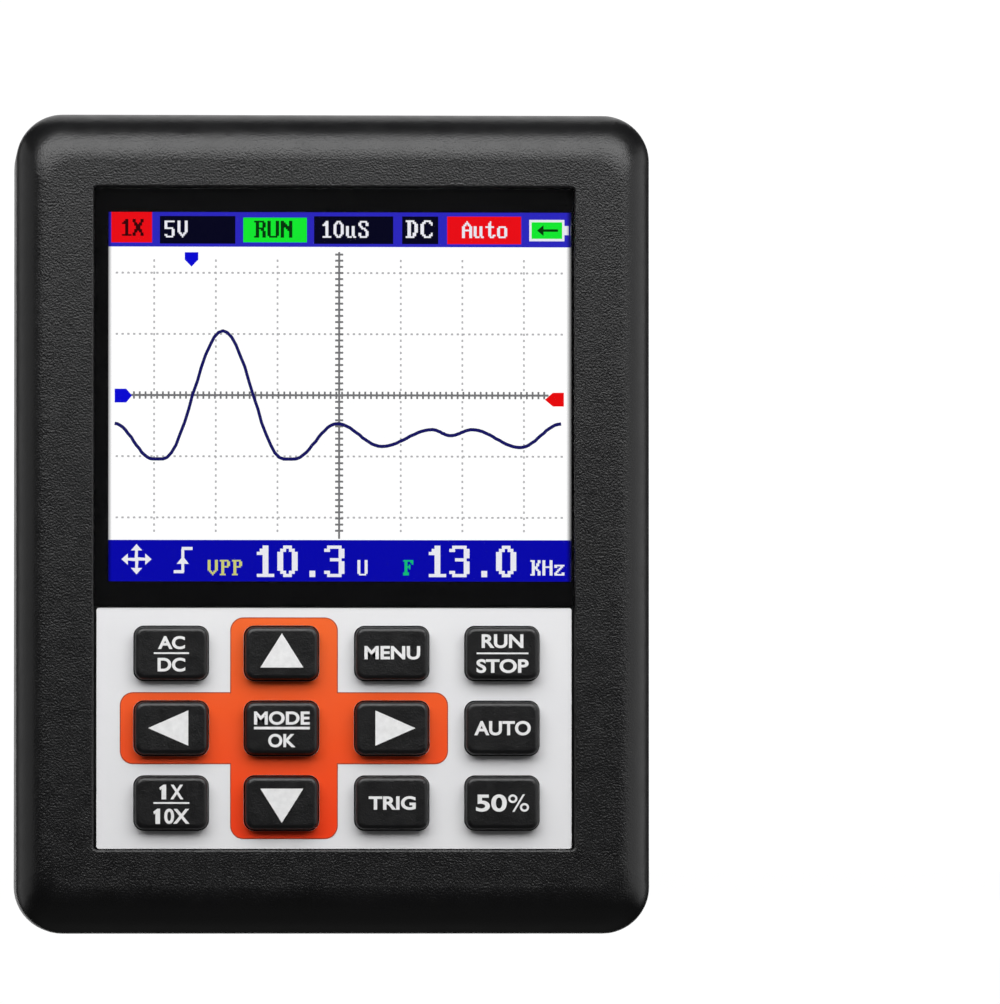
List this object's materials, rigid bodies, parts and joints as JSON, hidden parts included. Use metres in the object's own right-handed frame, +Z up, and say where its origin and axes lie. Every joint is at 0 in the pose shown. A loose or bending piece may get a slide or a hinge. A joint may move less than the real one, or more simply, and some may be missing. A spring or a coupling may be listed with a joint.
{
  "type": "handheld oscilloscope",
  "caption": "Pocket oscilloscope: black moulded case with rolled edges, colour screen behind a flush window, black push keys in a white panel with an orange cross, and a side power slide.",
  "frame": {"origin": "middle of the bottom edge, halfway through the depth; the object stands on this edge", "axes": "+Z up along the height, +X to the user's right, -Y towards the user, out of the screen"},
  "size_m": [0.0651, 0.0248, 0.084],
  "materials": {
    "case_plastic": "fine spark-eroded grain",
    "window_plastic": "clear hard-coated acrylic",
    "overlay_film": "satin printed film with an orange cross",
    "key_plastic": "satin black with printed legends",
    "display_glass": "display cell",
    "tray_metal": "pressed",
    "black_foam": "closed-cell foam",
    "adhesive_tape": "double-sided tape",
    "flex_film": "polyimide film",
    "board_laminate": "green solder mask",
    "black_plastic": "moulded",
    "white_plastic": "moulded nylon",
    "steel": "plated",
    "gold_plate": "gold plated",
    "cell_foil": "laminated foil pouch",
    "red_sleeve": "insulation",
    "black_sleeve": "insulation",
    "ferrite": "sintered"
  },
  "bodies": {
    "case": {"front_shell": "case_plastic", "rear_shell": "case_plastic", "display_lens": "window_plastic", "lens_tape": "adhesive_tape", "keypad_overlay": "overlay_film", "lcd_glass": "display_glass", "lcd_backlight": "tray_metal", "lcd_gasket": "black_foam", "lcd_foam_pads": "black_foam", "lcd_flex": "flex_film", "main_board": "board_laminate", "switch_bodies": "black_plastic", "input_jack_body": "black_plastic", "input_jack_contacts": "gold_plate", "power_switch_body": "steel", "usb_socket_shell": "steel", "usb_socket_tongue": "black_plastic", "battery_cell": "cell_foil", "battery_tape": "adhesive_tape", "battery_lead_red": "red_sleeve", "battery_lead_black": "black_sleeve", "battery_plug": "white_plastic", "battery_header": "white_plastic", "processor_chip": "black_plastic", "converter_chip": "black_plastic", "small_chips": "black_plastic", "crystal": "steel", "coupling_relay": "white_plastic", "shield_can": "steel", "trimmer_base": "white_plastic", "capacitors": "cell_foil", "power_inductor": "ferrite", "board_screws": "steel", "case_screws": "steel"},
    "button_ac_dc": {"key_ac_dc": "key_plastic", "plunger_ac_dc": "white_plastic"},
    "button_up": {"key_up": "key_plastic", "plunger_up": "white_plastic"},
    "button_menu": {"key_menu": "key_plastic", "plunger_menu": "white_plastic"},
    "button_run_stop": {"key_run_stop": "key_plastic", "plunger_run_stop": "white_plastic"},
    "button_left": {"key_left": "key_plastic", "plunger_left": "white_plastic"},
    "button_mode_ok": {"key_mode_ok": "key_plastic", "plunger_mode_ok": "white_plastic"},
    "button_right": {"key_right": "key_plastic", "plunger_right": "white_plastic"},
    "button_auto": {"key_auto": "key_plastic", "plunger_auto": "white_plastic"},
    "button_1x_10x": {"key_1x_10x": "key_plastic", "plunger_1x_10x": "white_plastic"},
    "button_down": {"key_down": "key_plastic", "plunger_down": "white_plastic"},
    "button_trig": {"key_trig": "key_plastic", "plunger_trig": "white_plastic"},
    "button_50_percent": {"key_50_percent": "key_plastic", "plunger_50_percent": "white_plastic"},
    "power_slide": {"power_switch_knob": "black_plastic"},
    "trimmer": {"trimmer_rotor": "gold_plate"}
  },
  "joints": [
    {"name": "press_ac_dc", "type": "slide", "parent": "case", "child": "button_ac_dc", "axis": [0, 1, 0], "range_m": [0, 0.0003], "stiffness_N_per_m": 4500, "springref_m": -0.0001},
    {"name": "press_up", "type": "slide", "parent": "case", "child": "button_up", "axis": [0, 1, 0], "range_m": [0, 0.0003], "stiffness_N_per_m": 4500, "springref_m": -0.0001},
    {"name": "press_menu", "type": "slide", "parent": "case", "child": "button_menu", "axis": [0, 1, 0], "range_m": [0, 0.0003], "stiffness_N_per_m": 4500, "springref_m": -0.0001},
    {"name": "press_run_stop", "type": "slide", "parent": "case", "child": "button_run_stop", "axis": [0, 1, 0], "range_m": [0, 0.0003], "stiffness_N_per_m": 4500, "springref_m": -0.0001},
    {"name": "press_left", "type": "slide", "parent": "case", "child": "button_left", "axis": [0, 1, 0], "range_m": [0, 0.0003], "stiffness_N_per_m": 4500, "springref_m": -0.0001},
    {"name": "press_mode_ok", "type": "slide", "parent": "case", "child": "button_mode_ok", "axis": [0, 1, 0], "range_m": [0, 0.0003], "stiffness_N_per_m": 4500, "springref_m": -0.0001},
    {"name": "press_right", "type": "slide", "parent": "case", "child": "button_right", "axis": [0, 1, 0], "range_m": [0, 0.0003], "stiffness_N_per_m": 4500, "springref_m": -0.0001},
    {"name": "press_auto", "type": "slide", "parent": "case", "child": "button_auto", "axis": [0, 1, 0], "range_m": [0, 0.0003], "stiffness_N_per_m": 4500, "springref_m": -0.0001},
    {"name": "press_1x_10x", "type": "slide", "parent": "case", "child": "button_1x_10x", "axis": [0, 1, 0], "range_m": [0, 0.0003], "stiffness_N_per_m": 4500, "springref_m": -0.0001},
    {"name": "press_down", "type": "slide", "parent": "case", "child": "button_down", "axis": [0, 1, 0], "range_m": [0, 0.0003], "stiffness_N_per_m": 4500, "springref_m": -0.0001},
    {"name": "press_trig", "type": "slide", "parent": "case", "child": "button_trig", "axis": [0, 1, 0], "range_m": [0, 0.0003], "stiffness_N_per_m": 4500, "springref_m": -0.0001},
    {"name": "press_50_percent", "type": "slide", "parent": "case", "child": "button_50_percent", "axis": [0, 1, 0], "range_m": [0, 0.0003], "stiffness_N_per_m": 4500, "springref_m": -0.0001},
    {"name": "power_switch", "type": "slide", "parent": "case", "child": "power_slide", "axis": [0, 0, -1], "range_m": [0, 0.002]},
    {"name": "trimmer_turn", "type": "hinge", "parent": "case", "child": "trimmer", "pos_m": [-0.024, -0.0009, 0.073], "axis": [0, -1, 0], "continuous": true}
  ]
}
